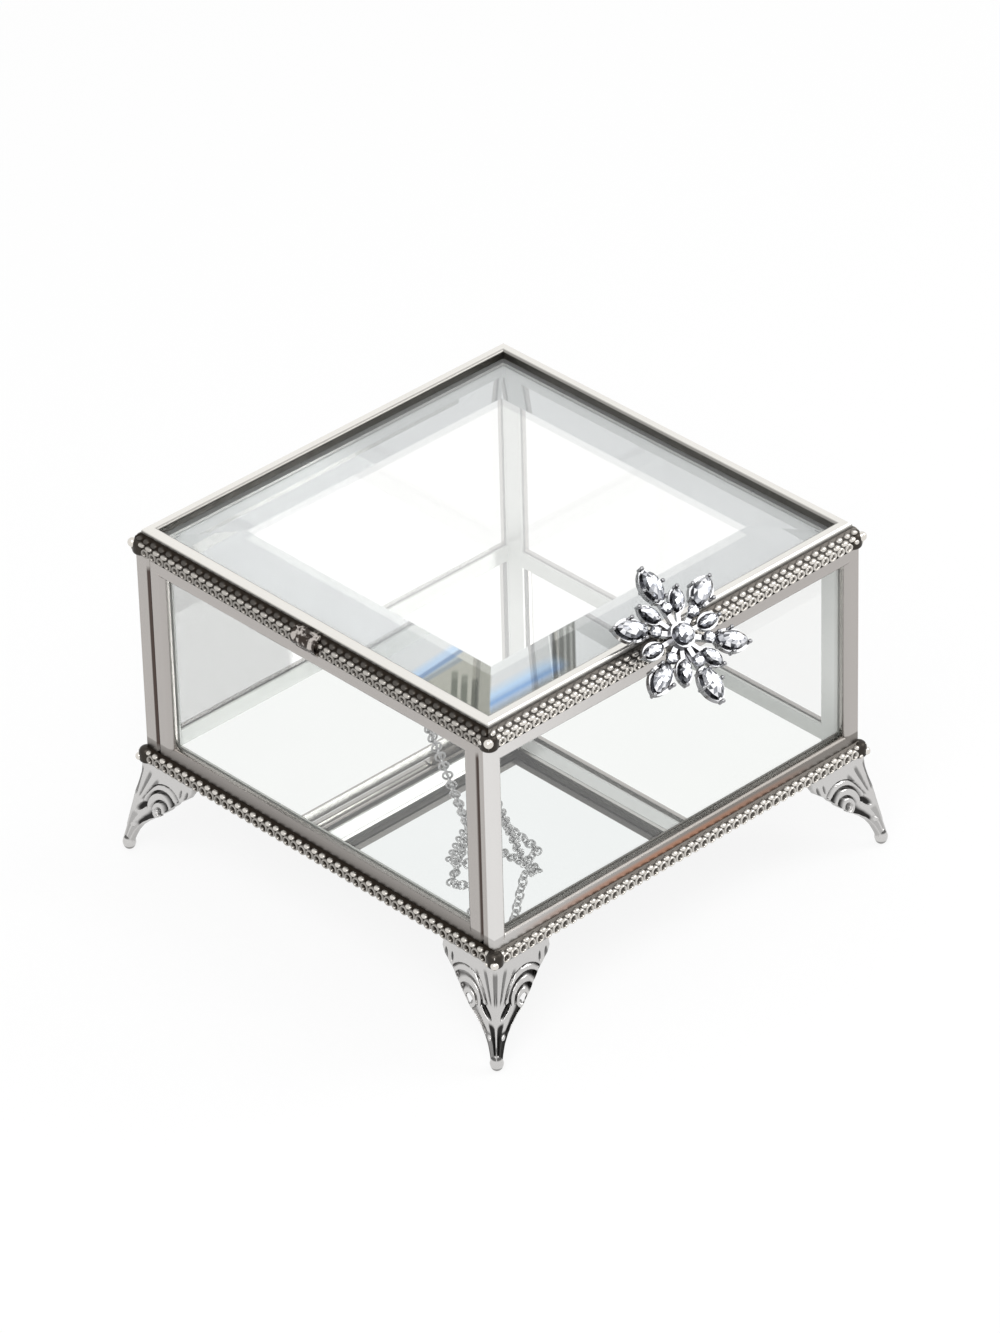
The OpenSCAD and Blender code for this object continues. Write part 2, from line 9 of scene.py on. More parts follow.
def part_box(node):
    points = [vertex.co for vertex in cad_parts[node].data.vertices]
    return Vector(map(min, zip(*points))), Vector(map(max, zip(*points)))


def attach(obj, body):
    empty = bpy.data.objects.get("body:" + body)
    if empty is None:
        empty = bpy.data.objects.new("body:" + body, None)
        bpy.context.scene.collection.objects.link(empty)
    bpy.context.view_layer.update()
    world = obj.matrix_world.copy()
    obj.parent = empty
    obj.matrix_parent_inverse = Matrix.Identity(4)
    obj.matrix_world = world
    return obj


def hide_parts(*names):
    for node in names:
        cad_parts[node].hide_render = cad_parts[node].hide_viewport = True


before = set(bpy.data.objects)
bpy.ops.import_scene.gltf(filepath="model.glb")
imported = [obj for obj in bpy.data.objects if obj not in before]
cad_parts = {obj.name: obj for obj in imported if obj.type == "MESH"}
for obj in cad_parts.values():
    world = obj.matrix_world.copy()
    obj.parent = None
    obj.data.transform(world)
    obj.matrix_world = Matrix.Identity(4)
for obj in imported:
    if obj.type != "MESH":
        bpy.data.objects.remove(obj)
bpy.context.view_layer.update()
MM = 0.001


# ---------------------------------------------------------------- sizes, in mm
def low(node):
    """Lowest corner of a CAD node, in mm."""
    return np.array(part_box(node)[0]) / MM


def high(node):
    """Highest corner of a CAD node, in mm."""
    return np.array(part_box(node)[1]) / MM


BODY_HALF = high("front_right_stile")[0]
LID_HALF = high("lid_rail_front")[0]
LID_TOP = high("lid_rail_front")[2]
LID_TRIM_Z = (low("lid_trim_front")[2], high("lid_trim_front")[2])
BASE_TRIM_Z = (low("base_trim_front")[2], high("base_trim_front")[2])
FOOT_TOP = BASE_TRIM_Z[0]
FOOT_BOTTOM = low("foot_front_left")[2]
LIP_WIDTH = 2.7
GLASS_INSET = 0.6
BEVEL_WIDTH = 15.8
BAR_DEPTH = 3.8
LID_INNER = LID_HALF - LIP_WIDTH
BEVEL_LINE = LID_HALF - GLASS_INSET - BEVEL_WIDTH
SEAM = BODY_HALF - BAR_DEPTH
BOTTOM_RAIL_TOP = high("front_bottom_rail")[2]
OPENING_TOP = low("front_top_rail")[2]
PITCH = 2.5
FOOT_LEAN = math.tan(math.radians(10.5))
FOOT_FACE = BODY_HALF + 0.8


# ---------------------------------------------------------------- mesh helpers
def make_mesh(name, verts, faces, body, material, smooth=True, **attributes):
    """A mesh object from an array of points in mm and an array of quads or triangles."""
    mesh = bpy.data.meshes.new(name)
    mesh.from_pydata((np.asarray(verts) * MM).tolist(), [], np.asarray(faces).tolist())
    mesh.validate()
    for key, values in attributes.items():
        layer = mesh.attributes.new(key, "FLOAT", "POINT")
        layer.data.foreach_set("value", np.asarray(values, dtype=np.float32).ravel())
    mesh.polygons.foreach_set("use_smooth", [smooth] * len(mesh.polygons))
    mesh.materials.append(material)
    piece = bpy.data.objects.new(name, mesh)
    bpy.context.scene.collection.objects.link(piece)
    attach(piece, body)
    return piece


def grid_quads(rows, cols, wrap_rows=False, wrap_cols=False):
    """Quads of a rows x cols grid of points; a wrapped side closes on itself."""
    r = np.arange(rows if wrap_rows else rows - 1)
    c = np.arange(cols if wrap_cols else cols - 1)
    r, c = np.meshgrid(r, c, indexing="ij")
    r2, c2 = (r + 1) % rows, (c + 1) % cols
    quads = np.stack([r * cols + c, r * cols + c2, r2 * cols + c2, r2 * cols + c], -1)
    return quads.reshape(-1, 4)


def turned(points, quarter):
    """Points of the front wall turned to wall 0 front, 1 right, 2 back or 3 left."""
    c, s = [(1, 0), (0, 1), (-1, 0), (0, -1)][quarter]
    p = np.asarray(points)
    return np.stack([c * p[..., 0] - s * p[..., 1], s * p[..., 0] + c * p[..., 1], p[..., 2]], -1)


def bump(t):
    """1 at t = 0, falling as a half circle to 0 at t = 1."""
    return np.sqrt(np.clip(1 - t * t, 0, 1))


def step(a, b, t):
    """Smooth rise from 0 at a to 1 at b."""
    x = np.clip((t - a) / (b - a), 0, 1)
    return x * x * (3 - 2 * x)


# ---------------------------------------------------------------- shader helpers
class Value:
    """A node socket on which + - * / add Math nodes."""

    def __init__(self, finish, socket):
        self.finish = finish
        self.socket = socket

    def math(self, operation, other=None, swap=False):
        pair = [self, other] if not swap else [other, self]
        return self.finish.node("Math", {"operation": operation}, dict(enumerate(
            p for p in pair if p is not None)))

    def __add__(self, other):
        return self.math("ADD", other)

    def __radd__(self, other):
        return self.math("ADD", other)

    def __sub__(self, other):
        return self.math("SUBTRACT", other)

    def __rsub__(self, other):
        return self.math("SUBTRACT", other, swap=True)

    def __mul__(self, other):
        return self.math("MULTIPLY", other)

    def __truediv__(self, other):
        return self.math("DIVIDE", other)

    def __neg__(self):
        return self * -1.0

    def __pow__(self, other):
        return self.math("POWER", other)

    def clamp(self):
        return self.finish.node("Clamp", {}, {0: self})

    def abs(self):
        return self.math("ABSOLUTE")

    def max(self, other):
        return self.math("MAXIMUM", other)


class Finish:
    """Builds one material's nodes."""

    def __init__(self, name, world=False):
        self.data = bpy.data.worlds.new(name) if world else bpy.data.materials.new(name)
        self.data.use_nodes = True
        self.tree = self.data.node_tree
        self.tree.nodes.clear()
        kind = "ShaderNodeOutputWorld" if world else "ShaderNodeOutputMaterial"
        self.out = self.tree.nodes.new(kind)

    def set(self, node, inputs):
        """Sets or links the named or numbered sockets of a node."""
        for key, value in inputs.items():
            socket = node.inputs[key]
            if isinstance(value, Value):
                self.tree.links.new(value.socket, socket)
            else:
                socket.default_value = value

    def raw(self, kind, settings, inputs):
        """Adds a node: settings such as its operation first, then its sockets."""
        node = self.tree.nodes.new("ShaderNode" + kind)
        for key, value in settings.items():
            if key == "stops":
                ramp = node.color_ramp
                while len(ramp.elements) < len(value):
                    ramp.elements.new(0.5)
                for element, (place, colour) in zip(ramp.elements, value):
                    element.position = place
                    element.color = colour
            else:
                setattr(node, key, value)
        self.set(node, inputs)
        return node

    def node(self, kind, settings=None, inputs=None, output=0):
        return Value(self, self.raw(kind, settings or {}, inputs or {}).outputs[output])

    def mix(self, factor, a, b):
        """Colour a where factor is 0, b where it is 1."""
        node = self.raw("Mix", {"data_type": "RGBA"}, {0: factor})
        self.set(node, {6: a, 7: b})
        return Value(self, node.outputs[2])

    def layered(self, tone, layers):
        """Lays (mask, colour) pairs over a tone in turn."""
        for mask, colour in layers:
            tone = self.mix(mask, tone, colour)
        return tone

    def place(self):
        return self.node("TexCoord", output="Object")

    def place_mm(self):
        """The three object coordinates in mm."""
        split = self.raw("SeparateXYZ", {}, {0: self.place()})
        return [Value(self, split.outputs[i]) / MM for i in range(3)]

    def over(self, value, line, soft):
        """0 below the line, 1 above it, over a soft width."""
        return ((value - line) / soft + 0.5).clamp()

    def within(self, value, start, end, soft):
        """1 between two lines, 0 outside them, over a soft width at both."""
        return self.over(value, start, soft) * (1 - self.over(value, end, soft))

    def rays(self, *kinds):
        """1 for rays of each of these kinds, 0 for others."""
        path = self.raw("LightPath", {}, {})
        return [Value(self, path.outputs[f"Is {kind} Ray"]) for kind in kinds]

    def window(self, tint, plain, clear):
        """Refracting glass; shadow and diffuse rays pass straight through it, and so do
        the rays of reflections. A ray that glass has bent counts as glossy too, so those
        are taken off again."""
        glass = self.node("BsdfPrincipled", {}, {
            "Base Color": tint, "Roughness": 0.0, "IOR": 1.5, "Transmission Weight": clear})
        straight = self.node("BsdfTransparent", {}, {"Color": plain})
        shadow, diffuse, glossy, bent = self.rays("Shadow", "Diffuse", "Glossy", "Transmission")
        passes = shadow.max(diffuse).max(glossy - bent)
        return self.node("MixShader", {}, {0: passes, 1: glass, 2: straight})

    def noise(self, scale, detail=2.0, rough=0.5):
        return self.node("TexNoise", {}, {"Vector": self.place(), "Scale": scale,
                                          "Detail": detail, "Roughness": rough})

    def attribute(self, name):
        return self.node("Attribute", {"attribute_name": name}, output="Fac")

    def bump(self, height, strength, distance):
        return self.node("Bump", {}, {"Height": height, "Strength": strength,
                                      "Distance": distance})

    def surface(self, shader):
        self.tree.links.new(shader.socket, self.out.inputs["Surface"])
        return self.data


def rgb(r, g, b):
    return (r, g, b, 1.0)


# ---------------------------------------------------------------- finishes
def nickel(name, light, dark, rough, hollow=None, grain=0.02):
    """Plated metal: light on the faces, darkened by a mask of patina with painted shade, or of
    painted shade alone, with fine brushing and haze.
    """
    m = Finish(name)
    haze = m.noise(90, 4, 0.6)
    fine = m.noise(2600, 2, 0.6)
    tone = m.mix(haze, rgb(*[c * 0.93 for c in light]), rgb(*light))
    gloss = rough + haze * 0.10
    if hollow:
        # The mask's darkness: patina with painted shade, or painted shade alone.
        depth = hollow(m)
        tone = m.mix(depth, tone, rgb(*dark))
        gloss = gloss + depth * 0.20
    shader = m.node("BsdfPrincipled", {}, {
        "Base Color": tone, "Metallic": 1.0, "Roughness": gloss,
        "Normal": m.bump(fine, 0.25, grain * MM)})
    return m.surface(shader)


def stored_patina_and_shade(m):
    """Darkness stored on the mesh by a relief: patina with painted shade in its hollows."""
    return m.attribute("hollow")


# Tones of the wall frames: outside, by the near corner as painted light, and inside low as
# painted shade and high.
SKIN, NEAR_PAINTED_LIGHT_SKIN = rgb(0.46, 0.435, 0.415), rgb(0.76, 0.745, 0.73)
LOW_SHADED_LINING, LINING = rgb(0.46, 0.47, 0.45), rgb(0.60, 0.605, 0.59)
# The side, front and ledge tones are painted shade on the bottom rails; the coppery tone is a
# painted reflection.
SIDE_SHADE, FRONT_SHADE = rgb(0.085, 0.075, 0.066), rgb(0.16, 0.145, 0.13)
LEDGE_SHADE, SEAM_SHADE = rgb(0.15, 0.14, 0.13), rgb(0.055, 0.035, 0.028)
COPPER_REFLECTION = rgb(0.46, 0.22, 0.13)


def frame_metal():
    """Soft nickel plate of the wall frames: grey outside, with painted light on the front by the
    near corner, with a dark seam between two walls. The bottom rails take painted shade that
    deepens downwards, painted shade along the front's ledge and a painted coppery reflection in
    the middle of the front. The inner side is a duller grey green, in painted shade low down."""
    m = Finish("frame metal")
    x, y, z = m.place_mm()
    outside = m.over(x.abs().max(y.abs()), BODY_HALF - 1.95, 0.2)
    front = m.over(-y, BODY_HALF - 1.9, 0.2)
    # Painted light on the front by the near corner.
    near = front * m.over(-x, 22.0, 70.0)
    skin = m.mix(near, SKIN, NEAR_PAINTED_LIGHT_SKIN)
    # Painted shade inside, low down.
    lining = m.mix(m.over(z, 12.0, 14.0), LOW_SHADED_LINING, LINING)

    # Painted shade on the bottom rails, deeper downwards and along the front's ledge, and a
    # painted coppery reflection in the middle of the front.
    bottom_rail = m.within(z, -1.0, BOTTOM_RAIL_TOP, 0.3) * outside
    falling = m.over(-z, -(BOTTOM_RAIL_TOP - 1.2), 3.2)
    ledge = m.within(z, BOTTOM_RAIL_TOP - 0.45, BOTTOM_RAIL_TOP + 0.4, 0.2)
    ledge = ledge * m.over(-y, BODY_HALF - 3.9, 0.2)
    middle = (1 - ((x + 4) / 46) ** 2).clamp() * front
    copper_reflection = middle * m.within(z, 2.0, BOTTOM_RAIL_TOP - 1.2, 0.8)
    seam = m.within(y.abs(), SEAM - 0.55, SEAM + 0.55, 0.25)
    seam = seam * m.over(x.abs(), BODY_HALF - 1.2, 0.3)
    seam = seam * m.within(z, BOTTOM_RAIL_TOP - 1.0, OPENING_TOP + 1.0, 1.5)
    tone = m.layered(m.mix(outside, lining, skin), [
        (bottom_rail * (1 - front) * (0.35 + falling * 0.55), SIDE_SHADE),
        (bottom_rail * front * (1 - near * 0.6) * 0.75, FRONT_SHADE),
        (ledge * m.within(x.abs(), -1.0, SEAM, 0.4) * 0.85, LEDGE_SHADE),
        (copper_reflection * 0.8, COPPER_REFLECTION),
        (seam * 0.92, SEAM_SHADE)])
    fine = m.noise(2600, 2, 0.6)
    return m.surface(m.node("BsdfPrincipled", {}, {
        "Base Color": tone, "Metallic": outside * 0.65 + 0.35,
        "Roughness": m.noise(90, 4, 0.6) * 0.10 + 0.20,
        "Normal": m.bump(fine, 0.25, 0.02 * MM)}))


def lip_painted_shade(m):
    """Painted shade on the inner and outer sides under the bright crown of the lid's lip, and a
    mid grey painted shade on its underside."""
    x, y, z = m.place_mm()
    reach = x.abs().max(y.abs())
    inner = 1 - m.over(reach, LID_INNER + 0.55, 0.35)
    below = 1 - m.over(z, LID_TOP - 0.55, 0.4)
    under = (1 - m.over(z, LID_TOP - 5.0, 0.4)) * (1 - m.over(reach, LID_HALF - 0.5, 0.3))
    return ((inner * 0.70 + below * 0.76) * (1 - under)).max(under * 0.40).clamp()


def clear_glass(name, tint):
    """Glass that refracts for the eye and lets light through to what it covers."""
    m = Finish(name)
    return m.surface(m.window(rgb(*tint), rgb(0.98, 0.985, 0.98), 1.0))


def pane_with_painted_reflection(name, tint, shade):
    """Clear pane whose far part, past y = 8 mm and above a sloping line, takes a painted light
    grey reflection."""
    m = Finish(name)
    x, y, z = m.place_mm()
    # Where the painted reflection lies.
    part = m.over(y, 8.4, 1.5) * m.over(z + y * 0.85, 51.0, 1.2)
    tone = m.mix(part, rgb(*tint), rgb(*shade))
    return m.surface(m.window(tone, rgb(*tint), 1.0))


# Tint of the lid's flat, painted refraction on its bevel, a painted highlight on the edge
# between them, and the bands of colour in the bevel by the near left corner, painted
# refraction too.
FLAT_TINT, BEVEL_REFRACTION = rgb(0.97, 0.97, 0.962), rgb(0.66, 0.675, 0.68)
EDGE_HIGHLIGHT = rgb(0.80, 0.81, 0.82)
OLIVE, DARK_OLIVE = rgb(0.36, 0.36, 0.30), rgb(0.085, 0.10, 0.075)
FRONT_OLIVE = rgb(0.36, 0.34, 0.27)
LEFT_BLUE, LEFT_NAVY = rgb(0.40, 0.60, 0.88), rgb(0.10, 0.17, 0.30)
FRONT_BLUE, FRONT_NAVY = rgb(0.40, 0.62, 0.90), rgb(0.12, 0.26, 0.52)
BLOCK, BLOCK_LIGHT = rgb(0.13, 0.135, 0.125), rgb(0.42, 0.43, 0.41)
# In mm: the olive patch starts at y = -PATCH_START and its dark stripes lie at these
# slants, x - y. The grey block spans these values of the place across the picture,
# 3.32 x - 3.15 y, and so do its light stripes.
PATCH_START = 29.8
PATCH_STRIPES = (-10.8, -7.8, -4.6)
BLOCK_SPAN = (53.5, 76.0)
BLOCK_STRIPES = (59.0, 66.0, 72.0)


def bevelled_glass(name):
    """Clear plate whose bevel carries painted refraction, a cool grey; towards the near left
    corner the painted refraction breaks the light into two blue bands, an olive patch with
    three dark stripes and a grey block with three light ones."""
    m = Finish(name)
    x, y, _ = m.place_mm()
    reach = x.abs().max(y.abs())
    left = m.over(-x, BEVEL_LINE, 0.3) * m.over(y - x, 0.0, 0.3)
    front = m.over(-y, BEVEL_LINE, 0.3) * m.over(x - y, 0.0, 0.3)
    edge = (1 - ((reach - BEVEL_LINE) / 0.35) ** 2).clamp()
    patch = left * m.within(-y, PATCH_START, 60.0, 1.2)
    # Painted refraction on the bevel, a painted highlight on its edge and painted bands of colour.
    layers = [(m.over(reach, BEVEL_LINE, 0.35), BEVEL_REFRACTION), (edge * 0.35, EDGE_HIGHLIGHT),
              (patch * 0.85, OLIVE)]
    for middle in PATCH_STRIPES:
        stripe = m.within(x - y, middle - 0.95, middle + 0.95, 0.5)
        stripe = stripe * m.over(-x - y, 86.0 + middle * 0.7, 2.0)
        layers.append((patch * stripe * 0.8, DARK_OLIVE))
    layers += [(left * m.within(-y, 26.8, 29.4, 1.6) * 0.85, LEFT_BLUE),
               (left * m.within(-y, 28.9, 30.2, 0.7) * 0.9, LEFT_NAVY)]
    across = x * 3.32 - y * 3.15
    layers.append((front * m.within(across, *BLOCK_SPAN, 1.5), BLOCK))
    for middle in BLOCK_STRIPES:
        stripe = m.within(across, middle - 1.3, middle + 1.3, 1.5)
        layers.append((front * stripe * 0.6, BLOCK_LIGHT))
    corner = front * m.within(x, -60.0, -27.0, 5.0)
    layers += [(corner * m.within(-y, 44.6, 47.6, 2.6) * 0.9, FRONT_BLUE),
               (corner * m.within(-y, 46.9, 48.8, 1.6) * 0.9, FRONT_NAVY),
               (corner * m.over(-y, 49.4, 1.2) * 0.8, FRONT_OLIVE)]
    return m.surface(m.window(m.layered(FLAT_TINT, layers), rgb(0.95, 0.96, 0.96), 0.78))


def worked_metal():
    """The trim's joining sleeve: dark plate with fine raised work."""
    m = Finish("worked metal")
    work = m.noise(620, 3, 0.55)
    raised = m.over(work, 0.53, 0.08)
    tone = m.mix(raised, rgb(0.05, 0.04, 0.034), rgb(0.52, 0.48, 0.45))
    return m.surface(m.node("BsdfPrincipled", {}, {
        "Base Color": tone, "Metallic": 1.0, "Roughness": 0.2,
        "Normal": m.bump(raised, 0.6, 0.12 * MM)}))


def mirror_glass():
    """Silvered floor with a faint cloudiness."""
    m = Finish("mirror")
    film = m.noise(30, 3, 0.6)
    tone = m.mix(film, rgb(0.95, 0.955, 0.95), rgb(0.98, 0.985, 0.98))
    return m.surface(m.node("BsdfPrincipled", {}, {
        "Base Color": tone, "Metallic": 1.0, "Roughness": film * 0.01}))


def crystal(name):
    """Foil-backed cut stone: each facet has its own tone of painted light."""
    m = Finish(name)
    # Each facet's painted light.
    facet = m.attribute("facet")
    tone = m.node("ValToRGB", {"stops": [
        (0.0, rgb(0.010, 0.011, 0.014)), (0.3, rgb(0.07, 0.075, 0.085)),
        (0.55, rgb(0.26, 0.27, 0.30)), (0.8, rgb(0.62, 0.63, 0.67)),
        (1.0, rgb(0.98, 0.98, 1.0))]}, {0: facet})
    return m.surface(m.node("BsdfPrincipled", {}, {
        "Base Color": tone, "Metallic": 0.8, "Roughness": 0.05,
        "Coat Weight": 1.0, "Coat Roughness": 0.02}))


FRAME_METAL = frame_metal()
# Lid lip metal: its light tone is a painted highlight on the crown, its dark tone painted shade.
LIP_METAL = nickel("lip metal", (0.88, 0.86, 0.815), (0.09, 0.085, 0.078), 0.16, lip_painted_shade)
HINGE_METAL = nickel("hinge metal", (0.50, 0.48, 0.46), (0.07, 0.06, 0.05), 0.18)
# Trim and cast metal: the dark tone is patina with painted shade, laid on by the stored mask.
TRIM_METAL = nickel("trim metal", (0.76, 0.725, 0.675), (0.022, 0.017, 0.013), 0.15, stored_patina_and_shade)
CAST_METAL = nickel("cast metal", (0.62, 0.61, 0.60), (0.018, 0.017, 0.016), 0.13, stored_patina_and_shade)
BROOCH_METAL = nickel("brooch metal", (0.34, 0.34, 0.35), (0.05, 0.05, 0.05), 0.14)
CHAIN_METAL = nickel("chain metal", (0.40, 0.40, 0.40), (0.06, 0.06, 0.06), 0.18)
PANE_GLASS = clear_glass("pane glass", (0.985, 0.988, 0.985))
SHADED_PANE_GLASS = clear_glass("shaded pane glass", (0.93, 0.93, 0.925))
LEFT_PANE_GLASS = pane_with_painted_reflection("left pane glass", (0.985, 0.988, 0.985), (0.62, 0.625, 0.62))
LID_GLASS = bevelled_glass("lid glass")
SLEEVE_METAL = worked_metal()
MIRROR = mirror_glass()
CRYSTAL = crystal("crystal")


# ---------------------------------------------------------------- beaded trim
def oval(x, z, rx, rz):
    """Height of a dome over an oval: the half circle of its distance from the middle."""
    return bump(np.hypot(x / rx, z / rz))


def trim_relief(x, z, rows, painted_light, floor):
    """How far the pressed strip stands out, in mm, and how dark it is: patina with painted shade
    in its hollows and painted highlights on its domes and rims.

    x runs along the strip and z up from its lower edge. The ground is a skirt that draws in
    to the wall above. On it stand rows of domes, each a half circle of its oval distance
    from its own middle, and a row of cups whose rims are half circles of the distance from
    a ring. dim holds the painted light of each row, floor the darkness of the hollows, patina
    with painted shade; both are set by wall.
    """
    on = ((x / PITCH + 0.5) % 1 - 0.5) * PITCH
    off = ((x / PITCH) % 1 - 0.5) * PITCH
    ground = np.interp(z, *np.array(rows["skirt"]).T)
    out = ground.copy()
    light = np.zeros_like(x)

    def add(dome, gain, shine):
        nonlocal out, light
        raised = np.where(dome > 0, ground + gain * dome, -9)
        # Painted highlight on the top of each dome and rim.
        light = np.where(raised > out, shine * step(0.2, 0.8, dome), light)
        out = np.maximum(out, raised)

    for (high_z, rx, rz, gain, half_on), shine in zip(rows["domes"], painted_light):
        add(oval(on if half_on else off, z - high_z, rx, rz), gain, shine)
    cup_z, radius, rim, half_on = rows["cup"]
    ring = np.hypot(on if half_on else off, z - cup_z)
    out = out - 0.45 * bump(ring / (radius - rim * 0.5))
    add(bump((ring - radius) / rim), 0.45, painted_light[-1])
    return out, floor * (1 - light)


# The skirt is (height, how far out) from the lower edge up. A row of domes is (height of
# its middle, half width, half height, rise, on the beat) and the cups are (height of the
# middle, radius, half width of the rim, on the beat). All in mm.
LID_ROWS = {
    "skirt": [(0, 1.15), (1.5, 1.3), (3.0, 1.25), (3.9, 1.05), (4.6, 0.7), (5.1, 0.1)],
    "domes": [(4.3, 0.98, 0.54, 0.5, True), (3.05, 1.16, 0.60, 0.65, False),
              (1.35, 0.36, 0.36, 0.5, True)],
    "cup": (1.35, 0.90, 0.32, True)}
BASE_ROWS = {
    "skirt": [(0, 1.0), (1.5, 1.15), (2.6, 1.0), (3.2, 0.75), (3.8, 0.1)],
    "domes": [(2.95, 0.92, 0.52, 0.55, True), (0.50, 0.62, 0.5, 0.45, True)],
    "cup": (1.50, 0.98, 0.26, False)}
# Painted light on each row of domes and on the cups, then the darkness of the hollows, patina
# with painted shade, by wall; the left wall is painted darkest.
LID_PAINTED_LIGHT = {"front": (0.85, 1.0, 0.9, 0.95), "right": (0.7, 0.9, 0.8, 0.85),
           "back": (0.7, 0.9, 0.8, 0.85), "left": (0.10, 0.64, 0.08, 0.42)}
BASE_PAINTED_LIGHT = {"front": (0.95, 0.7, 0.85), "right": (0.9, 0.9, 0.8),
            "back": (0.9, 0.9, 0.8), "left": (0.86, 0.60, 0.50)}
HOLLOW_PATINA_AND_SHADE = {"front": 0.90, "right": 0.93, "back": 0.93, "left": 1.0}


def beaded_strip(name, wall, half, z0, z1, rows, painted_light, body, node, per_pitch, count):
    """A pressed strip along one wall: a height field over its length and height, with a
    scalloped lower edge, drawn in to the mitre at its ends and closed on top,
    underneath and behind."""
    reach = half + 1.6
    cols = int(2 * reach / PITCH * per_pitch) | 1
    x = np.linspace(-reach, reach, cols)
    t = np.linspace(0, 1, count)
    cup_z, radius, rim, half_on = rows["cup"]
    near = ((x / PITCH + (0.5 if half_on else 0.0)) % 1 - 0.5) * PITCH
    scallop = cup_z - np.sqrt(np.clip((radius + rim) ** 2 - near ** 2, 0.0, None))
    xx, tt = np.meshgrid(x, t)
    low_edge = np.clip(scallop, 0.0, 0.8)
    zz = low_edge + tt * (z1 - z0 - low_edge)
    # Painted light and shade for this wall.
    out, hollow = trim_relief(xx, zz, rows, painted_light[wall], HOLLOW_PATINA_AND_SHADE[wall])
    out = out * step(-0.6, 1.4, np.minimum(tt, 1 - tt) * count)
    start = half - 3.0
    beyond = np.clip(np.abs(xx) - start, 0, None)
    mitred = np.where(beyond > 0, start + beyond * (3.0 + out) / (reach - start), np.abs(xx))
    px = np.sign(xx) * mitred
    face = np.stack([px, -half - out, z0 + zz], -1)
    back = np.stack([np.clip(px, -half, half), np.full_like(px, -half), z0 + zz], -1)
    loop = np.concatenate([face, back[::-1][[0, -1]]], 0)
    verts = turned(loop.reshape(-1, 3), WALLS.index(wall))
    faces = grid_quads(count + 2, cols, wrap_rows=True)
    hollow = np.concatenate([hollow, np.ones((2, cols))], 0)
    piece = make_mesh(name, verts, faces, body, TRIM_METAL, hollow=hollow)
    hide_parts(node)
    return piece


def revolved(profile, segments, centre):
    """A profile of (radius, height) from pole to pole turned about a vertical line."""
    angle = np.linspace(0, 2 * np.pi, segments, endpoint=False)
    r, z = np.array(profile).T
    ring = np.stack([np.outer(r, np.cos(angle)), np.outer(r, np.sin(angle)),
                     np.repeat(z[:, None], segments, 1)], -1)
    verts = ring.reshape(-1, 3) + np.asarray(centre)
    return verts, grid_quads(len(profile), segments, wrap_cols=True)


def ball(centre, radius):
    """A sphere as a half circle turned about its upright line."""
    segments = 28
    a = np.linspace(-np.pi / 2, np.pi / 2, segments // 2)
    profile = np.stack([radius * np.cos(a), radius * np.sin(a)], -1)
    profile[[0, -1], 0] = radius * 0.01
    return revolved(profile, segments, centre)


def joined(parts):
    """Stacks (points, faces, hollow) parts into one set."""
    verts, faces, hollow, count = [], [], [], 0
    for v, f, h in parts:
        verts.append(v)
        faces.append(f + count)
        hollow.append(np.broadcast_to(h, len(v)))
        count += len(v)
    return np.concatenate(verts), np.concatenate(faces), np.concatenate(hollow)


def corner_knob(name, quarter, half, z0, z1, radius, pearl, pearl_z, body):
    """Smooth dark block over a trim's corner: an upright barrel with round shoulders
    that carries one bright ball on the diagonal and a smaller one beside it."""
    h = z1 - z0
    foot, shoulder = 0.8, 1.4
    a = np.linspace(0, np.pi / 2, 10)
    low_end = np.stack([radius - foot + foot * np.sin(a), foot - foot * np.cos(a)], -1)
    top_end = np.stack([radius - shoulder + shoulder * np.cos(a),
                        h - shoulder + shoulder * np.sin(a)], -1)
    profile = np.concatenate([[[0.01, 0.0]], low_end, top_end, [[0.01, h]]])
    d = half + 0.1
    v, f = revolved(profile, 56, (d, -d, z0))
    side = radius / math.sqrt(2)
    parts = [(v, f, 0.96)]
    v, f = ball((d + side - 0.1, -d - side + 0.1, z0 + pearl_z), pearl)
    parts.append((v, f, 0.0))
    v, f = ball((d + side - 2.1, -d - side - 0.2, z0 + pearl_z - 0.4), pearl * 0.58)
    parts.append((v, f, 0.1))
    verts, faces, hollow = joined(parts)
    knob = make_mesh(name, turned(verts, quarter), faces, body, TRIM_METAL, hollow=hollow)


WALLS = ["front", "right", "back", "left"]
CORNERS = ["front_right", "back_right", "back_left", "front_left"]
for quarter, wall in enumerate(WALLS):
    beaded_strip("lid_trim_strip_" + wall, wall, LID_HALF, *LID_TRIM_Z, LID_ROWS, LID_PAINTED_LIGHT,
                 "lid", "lid_trim_" + wall, per_pitch=18, count=46)
    beaded_strip("base_trim_strip_" + wall, wall, BODY_HALF, *BASE_TRIM_Z, BASE_ROWS, BASE_PAINTED_LIGHT,
                 "box", "base_trim_" + wall, per_pitch=18, count=36)
    corner = CORNERS[quarter]
    corner_knob("lid_trim_knob_" + corner, quarter, LID_HALF, LID_TRIM_Z[0] + 0.1,
                LID_TRIM_Z[1] - 1.2, 2.1, 1.1, 2.6, "lid")
    corner_knob("base_trim_knob_" + corner, quarter, BODY_HALF, BASE_TRIM_Z[0] - 0.1,
                BASE_TRIM_Z[1] - 0.1, 1.9, 0.95, 1.2, "box")


# ---------------------------------------------------------------- cast feet
WING_EDGE = [(0, 16.0), (1.6, 16.3), (3.0, 15.7), (4.2, 14.4), (5.9, 12.6), (7.4, 11.6),
             (8.8, 10.5), (10.4, 9.2), (11.8, 7.9), (13.2, 6.2), (14.6, 4.7), (16.2, 3.5),
             (18.0, 2.6), (19.8, 2.1), (21.4, 1.8)]
